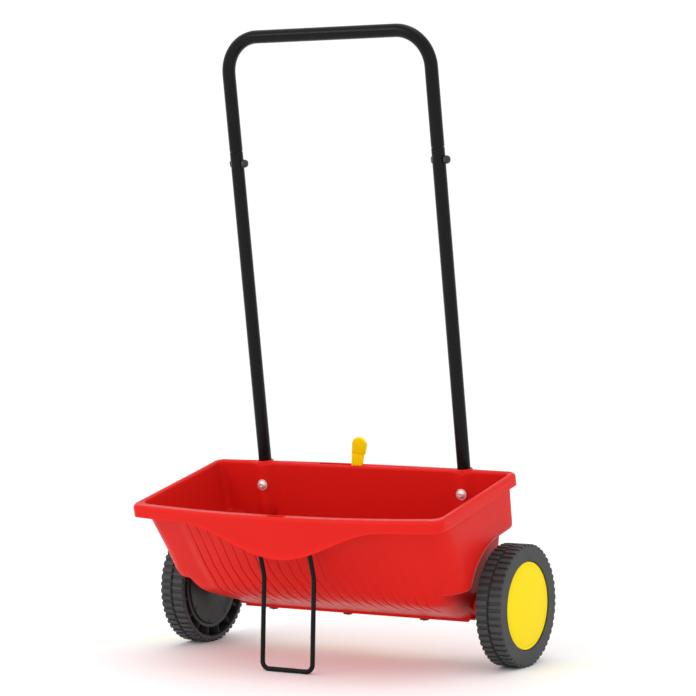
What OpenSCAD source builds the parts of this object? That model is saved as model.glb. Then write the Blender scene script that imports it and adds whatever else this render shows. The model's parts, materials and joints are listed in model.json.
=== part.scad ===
// Push drop spreader for lawns: an open hopper on two wheels, a wire stand and a bolted tube handle.
// Every piece is drawn in the hopper's own frame, with X across, Y towards the handle, Z up and the
// origin on the wheel axis. parked() then tips it forward on to its stand.

/* [Stance] */
// Radius of the wheels over the tread
wheel_r = 95; // [90:1:100]
// Forward tilt of the hopper when it rests on its stand, in degrees
tilt = 11.5; // [11:0.5:12]

/* [Hopper] */
// Height of the rim over the wheel axis
rim_v = 193; // [190:1:197]
// Half of the width over the rim
lip_half = 279; // [275:1:281]
// Depth of the turned-down edge of the rim
lip_h = 19; // [16:1:22]
// Distance of the rim's front edge from the axis, at mid width
lip_front = 209; // [207:1:213]
// Distance of the rim's rear edge from the axis, at mid width
lip_rear = 81; // [80:1:83]
// Half of the width over the end walls, just below the rim
end_half = 271; // [268:1:273]
// Distance of the front wall from the axis, at the rim and at mid width
front_u = 194; // [192:1:195]
// How far the front wall bows forward between its ends
bow = 24; // [20:1:26]
// Distance of the rear wall from the axis
rear_u = 66; // [65:0.5:67]
// Thickness of the moulded walls
wall = 3; // [2.5:0.1:3.5]
// Depth of the outlet floor below the axis
floor_v = 28; // [28:0.5:29]
// Half of the width over the trough, at its foot
trough_half = 217; // [215:1:218]
// Radius of the arch that clears each wheel
arch_r = 102; // [101:0.5:103]
// How far the apron hangs below the edge of the rim
apron_drop = 48; // [40:1:52]

/* [Outlet and lever] */
// Number of outlet slots
slot_count = 15; // [11:2:15]
// Distance from one outlet slot to the next
slot_pitch = 28; // [27:0.5:28.5]
// Swing of the lever to each side of its middle, in degrees
lever_swing = 9; // [8:0.5:9]

/* [Wheels] */
// Width of each wheel
wheel_w = 42.5; // [40:0.5:44]
// Distance of each wheel's outer face from the middle of the spreader
wheel_out = 310.5; // [309:0.5:312]
// Radius of the axle rod
axle_r = 5; // [4.5:0.1:5.5]

/* [Handle] */
// Outer radius of the handle tubes
tube_r = 10.5; // [10:0.1:11]
// Distance of each tube from the middle
tube_x = 184.5; // [180:0.5:188]
// Backward lean of the tubes against the hopper, in degrees
tube_lean = 3.5; // [3:0.5:4]
// Length of the tubes from the rim to the joint
joint_at = 508; // [480:1:520]
// Length from the rim to the middle of the top bar
bar_at = 690; // [650:1:700]
// Bend radius of the top bar, along its middle
bar_bend = 58; // [50:1:65]

/* [Stand] */
// Radius of the stand wire
wire_r = 3.75; // [3.5:0.25:4]
// Half of the distance between the legs
leg_x = 45; // [42:1:48]

/* [Hidden] */
$fn = 64;

// Hopper section: a steep front wall and a flatter floor, joined by an arc
front_angle = 21;
floor_angle = 62;
front_r = 105;
outlet_front = 6;
outlet_rear = 22;
knee_v = 45;
rear_tan = (rear_u - outlet_rear) / (knee_v + floor_v);
rear_sec = sqrt(1 + rear_tan * rear_tan);
front_off = front_u * cos(front_angle) - rim_v * sin(front_angle);
floor_off = outlet_front * cos(floor_angle) + floor_v * sin(floor_angle);
front_gap = front_r - front_off;
floor_gap = front_r - floor_off;
turn_sin = sin(floor_angle - front_angle);
arc_u = (front_gap * sin(floor_angle) - floor_gap * sin(front_angle)) / turn_sin;
arc_v = (floor_gap * cos(front_angle) - front_gap * cos(floor_angle)) / turn_sin;
arc_steps = 12;
bow_depth = bow * cos(front_angle);
bow_r = (end_half * end_half + bow_depth * bow_depth) / (2 * bow_depth);

// End walls, trough and the step between them
end_low_half = 265;
end_low_v = 50;
trough_top_half = 245;
trough_top_v = 110;
step_front_v = 52;
step_rear_v = 104;

// Rim
lip_bow = 24;
lip_rear_bow = 8;
lip_corner = 16;
lip_steps = 16;
apron_half = 180;
lip_low = rim_v - lip_h;

// Outlet, shutter and lever
slot_w = 11;
slot_len = 14;
slot_u = 8;
strip_u0 = -4;
strip_u1 = 20;
strip_t = 2.2;
strip_top = -floor_v - 0.4;
rail_w = 3.6;
rail_gap = 0.4;
rail_low = -floor_v - 3.3;
strip_half = 206;
plate_t = 2.2;
plate_w = 14;
plate_x = [for (k = [-5.5, -0.5, 4.5]) k * slot_pitch];
pivot_x = -38.5;
pivot_v = 20;
pivot_r = 4;
peg_v = -26;
peg_r = 3;
peg_arm = pivot_v - peg_v;
peg_x = pivot_x - peg_arm * tan(lever_swing);
slide_travel = 2 * peg_arm * tan(lever_swing);
lever_u = 70.5;
lever_t = 4;
lever_fit = 0.35;
stem_half = 8.8;
paddle_half = 13.5;

// Running gear
fit = 0.05;
wheel_in = wheel_out - wheel_w;
bush_end = 255.5;
bush_r = 9;
boss_end = 227;
hub_in = 10;
hub_r = 14;
web_z = 26;
web_t = 3;
disc_r = 67;
cover_r = 65.5;
nut_t = 3;
axle_half = wheel_in + web_z + web_t + 6;
rotor_half = 204;
rotor_r = 20;
pin_r = 1.5;

// Handle and stand
socket_r = 14;
socket_depth = 84;
tube_u = 70;
tube_wall = 1.3;
neck_len = 45;
bolt_v = 156;
bolt_down = (rim_v - bolt_v) / cos(tube_lean);
joint_bolt_at = joint_at - 19;
leg_top = [-190, 163];
leg_mid = [-183, 88];
foot_u = -220;
leg_foot = [foot_u, (wire_r - wheel_r - foot_u * sin(tilt)) / cos(tilt)];
leg_r = wire_r - 0.1;
clip_v = 150;
clip_gap = 0.4;

// Ground clearance and the shift that centres the whole spreader fore and aft
front_y = lip_front * cos(tilt) + rim_v * sin(tilt);
y_shift = (front_y - wheel_r) / 2;

module parked() {
    translate([0, y_shift, wheel_r]) rotate([tilt, 0, 0]) children();
}

module both_sides() {
    children();
    mirror([1, 0, 0]) children();
}

module at_tube(side) {
    translate([side * tube_x, tube_u, rim_v]) rotate([-tube_lean, 0, 0]) children();
}

module along_x(from, to, r) {
    translate([from, 0, 0]) rotate([0, 90, 0]) cylinder(h = to - from, r = r);
}

module along_y(from, to, r) {
    translate([0, from, 0]) rotate([-90, 0, 0]) cylinder(h = to - from, r = r);
}

// Points of the hopper's cross section, set in from the outside by d and cut off at the height top
function front_at(d, v) = -(front_off - d + sin(front_angle) * v) / cos(front_angle);
function floor_at(d, v) = -(floor_off - d + sin(floor_angle) * v) / cos(floor_angle);
function arc_at(d, a) = [arc_u - (front_r - d) * cos(a), arc_v - (front_r - d) * sin(a)];
function section(d, top) = concat(
    [[front_at(d, top), top]],
    [for (i = [0:arc_steps]) arc_at(d, front_angle + (floor_angle - front_angle) * i / arc_steps)],
    [[floor_at(d, d - floor_v), d - floor_v]],
    [[outlet_rear + d * (rear_tan - rear_sec), d - floor_v]],
    [[rear_u - d, (rear_u - d - outlet_rear + d * rear_sec) / rear_tan - floor_v]],
    [[rear_u - d, top]]
);

// Outline of the rim seen from above, set in by d
function front_edge(x) = lip_bow * pow(x / lip_half, 2) - lip_front;
function rear_edge(x) = lip_rear - lip_rear_bow * pow(x / lip_half, 2);
function corner(x, y, r, a) = [for (i = [0:6]) [x + r * cos(a + 15 * i), y + r * sin(a + 15 * i)]];
function rim_outline(d) = let (
    xc = lip_half - lip_corner,
    r = lip_corner - d,
    yf = front_edge(xc) + lip_corner,
    yr = rear_edge(xc) - lip_corner
) concat(
    [for (i = [1:lip_steps - 1]) let (x = xc * (2 * i / lip_steps - 1)) [x, front_edge(x) + d]],
    corner(xc, yf, r, -90),
    corner(xc, yr, r, 0),
    [for (i = [1:lip_steps - 1]) let (x = xc * (1 - 2 * i / lip_steps)) [x, rear_edge(x) - d]],
    corner(-xc, yr, r, 90),
    corner(-xc, yf, r, 180)
);
function apron_edge(x) = lip_low - apron_drop * (1 + cos(180 * x / apron_half)) / 2;

module section_prism(d, top) {
    rotate([90, 0, 90]) linear_extrude(2 * lip_half, center = true) polygon(section(d, top));
}

module bowed_front(d) {
    translate([0, bow_r * cos(front_angle) - front_u, rim_v + bow_r * sin(front_angle)])
        rotate([front_angle, 0, 0])
            cylinder(h = 1200, r = bow_r - d, center = true, $fn = 1440);
}

// A slab that tapers in width from the half width at one height to that at another
module tapered_ends(half_low, low, half_top, top) {
    rotate([90, 0, 0])
        linear_extrude(900, center = true)
            polygon([[-half_low, low], [half_low, low], [half_top, top], [-half_top, top]]);
}

module under_step(d) {
    along_x(-lip_half - 5, lip_half + 5, arch_r + d);
    translate([-lip_half - 5, -15, -120]) cube([2 * lip_half + 10, 200, 120 + step_rear_v + d]);
    translate([-lip_half - 5, -300, -120]) cube([2 * lip_half + 10, 290, 120 + step_front_v + d]);
}

// The space that the tub's walls enclose, set in by d
module tub_space(d, top) {
    end_slope = (end_half - end_low_half) / (rim_v - end_low_v);
    trough_slope = (trough_top_half - trough_half) / (step_rear_v + floor_v);
    difference() {
        intersection() {
            section_prism(d, top);
            bowed_front(d);
            tapered_ends(end_low_half - d, end_low_v, end_half - d + (top - rim_v) * end_slope, top);
        }
        under_step(d);
    }
    intersection() {
        section_prism(d, trough_top_v);
        bowed_front(d);
        tapered_ends(trough_half - d, -floor_v,
            trough_top_half - d + (trough_top_v - step_rear_v) * trough_slope, trough_top_v);
    }
}

module rim_band() {
    difference() {
        translate([0, 0, lip_low]) linear_extrude(lip_h) polygon(rim_outline(0));
        translate([0, 0, lip_low - 1]) linear_extrude(lip_h - wall + 1) polygon(rim_outline(wall));
    }
}

module apron() {
    low = lip_low - apron_drop;
    intersection() {
        translate([0, 0, low - 1]) linear_extrude(apron_drop + 2)
            difference() {
                polygon(rim_outline(0));
                polygon(rim_outline(wall));
            }
        rotate([90, 0, 0]) translate([0, 0, 120]) linear_extrude(120)
            polygon(concat(
                [[apron_half, lip_low + 1], [-apron_half, lip_low + 1]],
                [for (x = [-apron_half:15:apron_half]) [x, apron_edge(x) - 0.01]]
            ));
    }
}

module outlet_slots(shift) {
    for (i = [0:slot_count - 1])
        translate([(i - (slot_count - 1) / 2) * slot_pitch + shift - slot_w / 2,
            slot_u - slot_len / 2, -floor_v - 10])
            cube([slot_w, slot_len, 20]);
}

module rails() {
    rail_h = -rail_low - floor_v + 3;
    translate([-strip_half, strip_u0 - rail_gap - rail_w, rail_low]) cube([2 * strip_half, rail_w, rail_h]);
    difference() {
        translate([-strip_half, strip_u1 + rail_gap, rail_low]) cube([2 * strip_half, rail_w, rail_h]);
        translate([peg_x - 10, strip_u1, rail_low - 1]) cube([slide_travel + 20, 10, 4.25]);
    }
}

module hopper_tub() {
    color("red") parked() difference() {
        union() {
            difference() {
                union() {
                    tub_space(0, rim_v);
                    rim_band();
                }
                tub_space(wall, rim_v + 5);
            }
            apron();
            for (side = [-1, 1]) at_tube(side) translate([0, 0, -socket_depth - 4])
                cylinder(h = socket_depth + 3, r = socket_r);
            both_sides() along_x(206, boss_end, 16);
            translate([pivot_x, 0, pivot_v]) along_y(49, lever_u - 0.4, 9);
            translate([pivot_x, 0, pivot_v]) along_y(60, lever_u + lever_t + 0.3, pivot_r);
            rails();
        }
        for (side = [-1, 1]) at_tube(side) {
            translate([0, 0, -socket_depth]) cylinder(h = socket_depth + 10, r = tube_r + 0.15);
            translate([0, 0, -bolt_down]) along_y(-30, 30, 3.1);
        }
        both_sides() along_x(200, boss_end + 1, bush_r + 0.02);
        translate([pivot_x, 0, pivot_v]) along_y(54, lever_u + lever_t + 1, 1.6);
        outlet_slots(0);
        translate([pivot_x - 40, lever_u - 2, rim_v - 10]) cube([80, lever_t + 4, 20]);
        for (x = plate_x, u = [strip_u0 - 2.2, strip_u1 + 2.2]) translate([x, u, rail_low - 1])
            cylinder(h = 5, r = 1.2, $fn = 24);
    }
}

module shutter_slide() {
    color("gold") parked() {
        difference() {
            union() {
                translate([-strip_half, strip_u0, strip_top - strip_t])
                    cube([2 * strip_half, strip_u1 - strip_u0, strip_t]);
                translate([peg_x - 8, strip_u1 - 1, strip_top - strip_t]) cube([16, 48, strip_t]);
                translate([peg_x - 8, 64, strip_top - strip_t]) cube([16, 3, 12]);
                translate([peg_x, 0, peg_v]) along_y(66, 77, peg_r);
            }
            outlet_slots(-slide_travel);
        }
    }
}

module slide_plates() {
    color("dimgray") parked() for (x = plate_x)
        difference() {
            translate([x - plate_w / 2, strip_u0 - rail_gap - rail_w, rail_low - plate_t])
                cube([plate_w, strip_u1 - strip_u0 + 2 * (rail_gap + rail_w), plate_t]);
            for (u = [strip_u0 - 2.2, strip_u1 + 2.2]) translate([x, u, rail_low - 5])
                cylinder(h = 10, r = 1.3, $fn = 24);
        }
}

module slide_screws() {
    color("silver") parked() for (x = plate_x, u = [strip_u0 - 2.2, strip_u1 + 2.2])
        translate([x, u, rail_low - plate_t]) {
            translate([0, 0, -0.3]) cylinder(h = plate_t + 3.8, r = 1.15, $fn = 24);
            translate([0, 0, -1.3]) cylinder(h = 1.2, r = 2.2, $fn = 24);
        }
}

module lever_shape() {
    difference() {
        union() {
            translate([-7, 0]) square([14, rim_v - pivot_v - 12]);
            translate([-stem_half, rim_v - pivot_v - 22]) square([2 * stem_half, 46]);
            translate([-paddle_half + 3, rim_v - pivot_v + 22]) square([2 * paddle_half, 14]);
            translate([3, rim_v - pivot_v + 36]) circle(paddle_half);
            circle(11);
            translate([-7.5, -peg_arm - 8]) square([15, peg_arm + 6]);
        }
        circle(pivot_r + 0.06);
        translate([-peg_r - lever_fit, -peg_arm - 9]) square([2 * (peg_r + lever_fit), 16]);
    }
}

module metering_lever() {
    color("gold") parked() translate([pivot_x, lever_u + lever_t, pivot_v])
        rotate([0, lever_swing, 0]) rotate([90, 0, 0]) linear_extrude(lever_t) lever_shape();
}

module pivot_washer() {
    color("silver") parked() translate([pivot_x, 0, pivot_v]) difference() {
        along_y(lever_u + lever_t + 0.3, lever_u + lever_t + 1.3, 8);
        along_y(0, 100, 2.2);
    }
}

module pivot_screw() {
    color("silver") parked() translate([pivot_x, 0, pivot_v]) {
        along_y(56, lever_u + lever_t + 2, 1.55);
        along_y(lever_u + lever_t + 1.3, lever_u + lever_t + 3.8, 4.5);
    }
}

module axle_rod() {
    color("silver") parked() difference() {
        along_x(-axle_half, axle_half, axle_r);
        translate([wheel_in - hub_in + 3, 0, 0]) cylinder(h = 40, r = pin_r + fit, center = true, $fn = 24);
        for (x = [-150, 150]) translate([x, 0, 0])
            cylinder(h = 40, r = pin_r + fit, center = true, $fn = 24);
    }
}

// Feed roller: rows of paddles, each row turned half a paddle on from the last
module agitator() {
    rows = 8;
    row_len = 2 * rotor_half / rows;
    color("dimgray") parked() difference() {
        union() {
            along_x(-rotor_half, rotor_half, 8.5);
            for (i = [0:rows - 1], a = [0:60:300])
                translate([-rotor_half + i * row_len, 0, 0]) rotate([a + 30 * (i % 2), 0, 0])
                    translate([0, -1.5, 6]) cube([row_len - 3, 3, rotor_r - 6]);
        }
        along_x(-rotor_half - 1, rotor_half + 1, axle_r + fit);
        for (x = [-150, 150]) translate([x, 0, 0])
            cylinder(h = 60, r = pin_r + fit, center = true, $fn = 24);
    }
}

module agitator_pins() {
    color("silver") parked() for (x = [-150, 150]) translate([x, 0, 0])
        cylinder(h = 20, r = pin_r, center = true, $fn = 24);
}

module axle_bush() {
    color("black") parked() difference() {
        union() {
            along_x(205, bush_end, bush_r);
            along_x(boss_end + 0.05, boss_end + 3, 15);
        }
        along_x(200, 270, axle_r + 0.06);
    }
}

module axle_bush_left() {
    mirror([1, 0, 0]) axle_bush();
}

module axle_bush_right() {
    axle_bush();
}

module thrust_washers() {
    color("silver") parked() both_sides() difference() {
        along_x(bush_end + 0.35, wheel_in - hub_in - 0.35, 10);
        along_x(200, 300, axle_r + fit);
    }
}

module drive_pin() {
    color("silver") parked() translate([wheel_in - hub_in + 3, 0, 0])
        cylinder(h = 2 * hub_r - 2, r = pin_r, center = true, $fn = 24);
}

module push_nuts() {
    color("silver") parked() both_sides() difference() {
        along_x(wheel_in + web_z + web_t + 0.35, wheel_in + web_z + web_t + nut_t, 11);
        along_x(200, 400, axle_r);
    }
}

// Moulded wheel on its own axis: the inner face at 0, the outer face at wheel_w
module wheel_body() {
    difference() {
        union() {
            rotate_extrude($fn = 96) {
                translate([86, 0]) square([wheel_r - 86, wheel_w]);
                translate([disc_r + 1.5, wheel_w - 3]) square([20, 3]);
                translate([disc_r + 1.5, web_z]) square([3, wheel_w - web_z]);
                translate([8, web_z]) square([disc_r - 4, web_t]);
                translate([cover_r + 0.5, 5]) square([6, web_z - 4]);
            }
            translate([0, 0, -hub_in]) cylinder(h = hub_in + web_z + 1, r = hub_r);
            for (a = [0:30:330]) rotate([0, 0, a]) translate([disc_r + 3, -1, 7])
                cube([15, 2, wheel_w - 8]);
        }
        translate([0, 0, -50]) cylinder(h = 200, r = axle_r + fit);
    }
}

module on_side(side) {
    if (side > 0) {
        translate([wheel_in, 0, 0]) rotate([0, 90, 0]) children();
    } else {
        mirror([1, 0, 0]) translate([wheel_in, 0, 0]) rotate([0, 90, 0]) children();
    }
}

module wheel_left() {
    color([0.12, 0.12, 0.13]) parked() on_side(-1) wheel_body();
}

module wheel_right() {
    color([0.12, 0.12, 0.13]) parked() difference() {
        on_side(1) wheel_body();
        translate([wheel_in - hub_in + 3, 0, 0])
            cube([2 * pin_r + 0.2, 2 * pin_r + 0.2, 2 * hub_r - 1], center = true);
    }
}

module wheel_cover() {
    difference() {
        translate([0, 0, 3]) cylinder(h = 2, r = cover_r);
        translate([0, 0, -1]) cylinder(h = 9, r = hub_r + 0.3);
    }
}

module wheel_cover_left() {
    color([0.25, 0.25, 0.27]) parked() on_side(-1) wheel_cover();
}

module wheel_cover_right() {
    color([0.25, 0.25, 0.27]) parked() on_side(1) wheel_cover();
}

// Snap-in hub disc: a shallow dished plate with a rim that sits in the wheel's recess
module hub_disc() {
    translate([0, 0, wheel_w]) rotate_extrude($fn = 96)
        polygon([[0, -1.5], [disc_r - 6, -2.5], [disc_r - 3, -10], [disc_r, -10], [disc_r, -1.2],
            [disc_r - 2, -0.4], [40, 0.5], [0, 1]]);
}

module hub_disc_left() {
    color("yellow") parked() on_side(-1) hub_disc();
}

module hub_disc_right() {
    color("yellow") parked() on_side(1) hub_disc();
}

module handle_tube(side) {
    color("black") parked() at_tube(side) difference() {
        translate([0, 0, -socket_depth + 1]) cylinder(h = socket_depth - 1 + joint_at, r = tube_r);
        translate([0, 0, -socket_depth]) cylinder(h = joint_at + 200, r = tube_r - tube_wall);
        translate([0, 0, -bolt_down]) along_y(-20, 20, 3.1);
        translate([0, 0, joint_bolt_at]) along_x(-20, 20, 3.1);
    }
}

module handle_tube_left() {
    handle_tube(-1);
}

module handle_tube_right() {
    handle_tube(1);
}

// The hoop: two legs, two bends and the top bar, all of the radius r
module hoop(r) {
    leg = bar_at - joint_at - bar_bend;
    bar_half = tube_x - bar_bend;
    at_tube(0) both_sides() translate([tube_x, 0, joint_at]) {
        cylinder(h = leg, r = r);
        translate([-bar_bend, 0, leg]) rotate([90, 0, 0])
            rotate_extrude(angle = 90) translate([bar_bend, 0]) circle(r);
    }
    at_tube(0) translate([0, 0, bar_at]) {
        along_x(-bar_half, bar_half, r);
        along_x(-bar_half - 4, bar_half + 4, r - 0.4);
    }
}

module hoop_necks(r, extra) {
    for (side = [-1, 1]) at_tube(side) translate([0, 0, joint_at - neck_len - extra])
        cylinder(h = neck_len + 2 * extra, r = r);
}

module handle_bar() {
    neck_r = tube_r - tube_wall - 0.1;
    color("black") parked() difference() {
        union() {
            hoop(tube_r);
            hoop_necks(neck_r, 0);
        }
        hoop(tube_r - tube_wall);
        hoop_necks(neck_r - tube_wall, 1);
        for (side = [-1, 1]) at_tube(side) translate([0, 0, joint_bolt_at]) along_x(-20, 20, 3.1);
    }
}

module tube_plugs() {
    color("dimgray") parked() for (side = [-1, 1]) at_tube(side) translate([0, 0, -socket_depth + 1.2])
        cylinder(h = 12, r = tube_r - tube_wall - 0.05);
}

// Dome-headed bolt along +Y: the underside of its head at 0, the end of its shank at len
module dome_bolt(len, head_r, head_h) {
    cap_r = (head_r * head_r + head_h * head_h) / (2 * head_h);
    along_y(-0.5, len, 3);
    intersection() {
        translate([0, cap_r - head_h, 0]) sphere(r = cap_r, $fn = 64);
        along_y(-head_h - 1, 0, head_r);
    }
}

module at_hopper_bolt(side) {
    at_tube(side) translate([0, 0, -bolt_down]) children();
}

module hopper_bolts() {
    color("silver") parked() for (side = [-1, 1]) at_hopper_bolt(side)
        translate([0, -socket_r - 1.6, 0]) dome_bolt(2 * socket_r + 11, 7, 4);
}

module hopper_washers() {
    color("silver") parked() for (side = [-1, 1]) at_hopper_bolt(side) difference() {
        along_y(-socket_r - 1.6, -socket_r - 0.1, 9);
        along_y(-30, 30, 3.1);
    }
}

module hopper_nuts() {
    color("silver") parked() for (side = [-1, 1]) at_hopper_bolt(side) difference() {
        translate([0, socket_r + 0.2, 0]) rotate([-90, 0, 0]) cylinder(h = 5, r = 6, $fn = 6);
        along_y(-30, 30, 3.02);
    }
}

module joint_bolts() {
    color("silver") parked() for (side = [-1, 1]) at_tube(side) translate([0, 0, joint_bolt_at])
        translate([-tube_r - 0.2, 0, 0]) rotate([0, 0, -90]) dome_bolt(2 * tube_r + 4, 6, 3.4);
}

module joint_nuts() {
    color([0.1, 0.1, 0.1]) parked() for (side = [-1, 1]) at_tube(side) translate([0, 0, joint_bolt_at])
        difference() {
            translate([tube_r + 0.2, 0, 0]) rotate([0, 90, 0])
                rotate_extrude() polygon([[0, 0], [6.5, 0], [6.5, 4.5], [5.6, 6.6], [3.4, 8], [0, 8.6]]);
            along_x(0, tube_r + 4.5, 3.02);
        }
}

function leg_len(a, b) = norm([b[0] - a[0], b[1] - a[1]]);
function leg_turn(a, b) = atan2(b[0] - a[0], b[1] - a[1]);

// A straight piece of the stand wire between two points (y, z) of the leg's plane
module wire_run(a, b) {
    translate([0, a[0], a[1]]) rotate([-leg_turn(a, b), 0, 0]) cylinder(h = leg_len(a, b), r = leg_r);
}

module stand_wire() {
    color("black") parked() {
        both_sides() translate([leg_x, 0, 0]) {
            wire_run(leg_top, leg_mid);
            translate([0, leg_mid[0], leg_mid[1]]) sphere(r = wire_r + 0.2);
            wire_run(leg_mid, leg_foot);
        }
        translate([0, leg_foot[0], leg_foot[1]]) along_x(-leg_x - wire_r, leg_x + wire_r, wire_r);
    }
}

// Frame of a leg's clip: its back, at Y = 0, lies against the front wall
module at_clip() {
    for (side = [-1, 1])
        translate([side * leg_x, front_at(0, clip_v) - clip_gap, clip_v]) rotate([front_angle, 0, 0])
            children();
}

// Saddle blocks that hold each leg's top end against the front wall, behind the apron
module stand_clips() {
    color("dimgray") parked() difference() {
        at_clip() translate([-15, -17.5, -7]) cube([30, 17.5, 14]);
        both_sides() translate([leg_x, 0, 0]) wire_run(leg_top, leg_mid);
        at_clip() for (dx = [-10.5, 10.5]) translate([dx, 0, 0]) along_y(-20, 5, 2);
    }
}

module stand_screws() {
    color("silver") parked() at_clip() for (dx = [-10.5, 10.5]) translate([dx, 0, 0]) {
        along_y(-18, -0.2, 1.8);
        along_y(-20, -17.7, 3.4);
    }
}

hopper_tub();
shutter_slide();
slide_plates();
slide_screws();
metering_lever();
pivot_washer();
pivot_screw();
axle_rod();
agitator();
agitator_pins();
axle_bush_left();
axle_bush_right();
thrust_washers();
drive_pin();
push_nuts();
wheel_left();
wheel_right();
wheel_cover_left();
wheel_cover_right();
hub_disc_left();
hub_disc_right();
handle_tube_left();
handle_tube_right();
handle_bar();
tube_plugs();
hopper_bolts();
hopper_washers();
hopper_nuts();
joint_bolts();
joint_nuts();
stand_wire();
stand_clips();
stand_screws();
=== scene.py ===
"""Drop spreader for lawns: the finished look of the hopper, wheels, handle, stand and lever.

Lengths in the making of each piece are millimetres in the hopper's own frame: x across, u towards the
handle, v up, with the origin on the wheel axis. PARKED carries them into the scene, in metres.
"""

import json
import math

import bmesh
import bpy
from bpy.props import BoolProperty, FloatProperty, FloatVectorProperty, IntProperty, PointerProperty
from mathutils import Matrix, Vector


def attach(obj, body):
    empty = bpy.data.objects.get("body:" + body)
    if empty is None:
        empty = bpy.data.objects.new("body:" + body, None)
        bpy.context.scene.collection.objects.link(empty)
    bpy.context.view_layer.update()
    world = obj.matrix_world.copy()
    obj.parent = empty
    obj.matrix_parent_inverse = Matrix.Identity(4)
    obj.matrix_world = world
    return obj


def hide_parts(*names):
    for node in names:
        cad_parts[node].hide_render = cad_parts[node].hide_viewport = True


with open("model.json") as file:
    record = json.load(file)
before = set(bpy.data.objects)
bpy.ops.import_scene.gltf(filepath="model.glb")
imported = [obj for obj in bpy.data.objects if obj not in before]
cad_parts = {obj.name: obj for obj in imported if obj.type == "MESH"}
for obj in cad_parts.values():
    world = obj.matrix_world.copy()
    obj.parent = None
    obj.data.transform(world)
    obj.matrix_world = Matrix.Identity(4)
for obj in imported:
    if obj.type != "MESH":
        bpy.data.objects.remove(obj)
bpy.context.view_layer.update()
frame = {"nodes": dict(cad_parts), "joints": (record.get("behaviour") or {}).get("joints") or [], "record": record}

bl_info = {
    "name": "Drop spreader",
    "version": (1, 0, 0),
    "blender": (4, 5, 0),
    "location": "3D View > Sidebar > Spreader",
    "description": "Builds the hopper, wheels, handle, stand and lever of a push drop spreader",
    "category": "Object",
}

# Where the frame stands: the axle's place and the hopper's forward tilt come from its joints
JOINTS = {joint["name"]: joint for joint in frame["joints"]}
AXLE = Vector(JOINTS["axle_spin"]["pos_m"])
LEVER_AXIS = Vector(JOINTS["lever_swing"]["axis"])
TILT = math.atan2(LEVER_AXIS.z, LEVER_AXIS.y)
TO_METRES = Matrix.Scale(0.001, 4)
PARKED = Matrix.Translation(AXLE) @ Matrix.Rotation(TILT, 4, "X") @ TO_METRES
MIRROR_X = Matrix.Scale(-1, 4, (1, 0, 0))
WHEEL_RADIUS = AXLE.z * 1000
LEVER_PIVOT = PARKED.inverted() @ Vector(JOINTS["lever_swing"]["pos_m"])
LEVER_LEAN = math.radians(-JOINTS["lever_swing"]["range_deg"][0] / 2)

# Hopper, as in the design
RIM_V = 193.0
WALL = 3.0
FLOOR_V = -28.0
FRONT_ANGLE = math.radians(21)
FLOOR_ANGLE = math.radians(62)
FRONT_R = 105.0
ARC_U = -51.6
ARC_V = 115.2
OUTLET_FRONT = 6.0
OUTLET_REAR = 22.0
FRONT_U = 194.0
REAR_U = 66.0
KNEE_V = 45.0
BOW = 24.0
END_HALF = 271.0
END_LOW_HALF = 265.0
END_LOW_V = 50.0
TROUGH_HALF = 217.0
TROUGH_TOP_HALF = 245.0
STEP_FRONT_V = 52.0
STEP_REAR_V = 104.0
ARCH_R = 102.0
LIP_HALF = 279.0
LIP_CORNER = 16.0
LIP_FRONT = 209.0
LIP_REAR = 81.0
TUBE_X = 184.5
TUBE_U = 70.0
TUBE_LEAN = math.radians(3.5)
TUBE_R = 10.5
JOINT_AT = 508.0
BAR_AT = 690.0
BAR_BEND = 58.0
BOLT_V = 156.0
SOCKET_R = 14.0
SLOT_COUNT = 15
SLOT_PITCH = 28.0


# ---------------------------------------------------------------- what a user would change

class SpreaderHopper(bpy.types.PropertyGroup):
    colour: FloatVectorProperty(
        name="Colour", description="Colour of the hopper's plastic", subtype="COLOR",
        size=3, min=0, max=1, default=(0.68, 0.014, 0.010))
    flute_depth: FloatProperty(
        name="Flute depth", description="Depth of the flutes in the front wall, in millimetres",
        default=1.15, min=0, max=3)
    flutes: IntProperty(
        name="Flutes", description="Number of flutes across the front wall", default=21, min=12, max=21)
    apron_drop: FloatProperty(
        name="Apron", description="How far the apron hangs below the rim's edge, in millimetres",
        default=48, min=20, max=60)


class SpreaderWheels(bpy.types.PropertyGroup):
    tyre_colour: FloatVectorProperty(
        name="Tyre", description="Colour of the wheels' plastic", subtype="COLOR",
        size=3, min=0, max=1, default=(0.023, 0.024, 0.025))
    disc_colour: FloatVectorProperty(
        name="Disc", description="Colour of the hub discs", subtype="COLOR",
        size=3, min=0, max=1, default=(0.91, 0.69, 0.001))
    lugs: IntProperty(
        name="Lugs", description="Number of lugs in each of the two rows", default=52, min=30, max=60)
    spokes: IntProperty(
        name="Ribs", description="Number of ribs in the wheel's inner channel", default=16, min=8, max=24)


class SpreaderHandle(bpy.types.PropertyGroup):
    colour: FloatVectorProperty(
        name="Paint", description="Colour of the tubes' and the stand's paint", subtype="COLOR",
        size=3, min=0, max=1, default=(0.005, 0.005, 0.0055))
    steps: IntProperty(
        name="Smoothness", description="Sides of each round tube", default=40, min=16, max=96)


class SpreaderStage(bpy.types.PropertyGroup):
    azimuth: FloatProperty(
        name="Azimuth", description="Direction the camera looks from", subtype="ANGLE",
        default=math.radians(30.86))
    elevation: FloatProperty(
        name="Elevation", description="Height of the camera over the horizon", subtype="ANGLE",
        default=math.radians(3.3))
    roll: FloatProperty(
        name="Roll", description="Turn of the camera about its own axis", subtype="ANGLE",
        default=math.radians(-0.87))
    distance: FloatProperty(
        name="Distance", description="From the camera to the spreader", subtype="DISTANCE",
        unit="LENGTH", default=4.508)
    lens: FloatProperty(name="Lens", description="Focal length in millimetres", default=146.0)
    floor: BoolProperty(name="Floor", description="Whether the pale floor is made", default=True)


def settings():
    return bpy.context.scene.spreader


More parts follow.
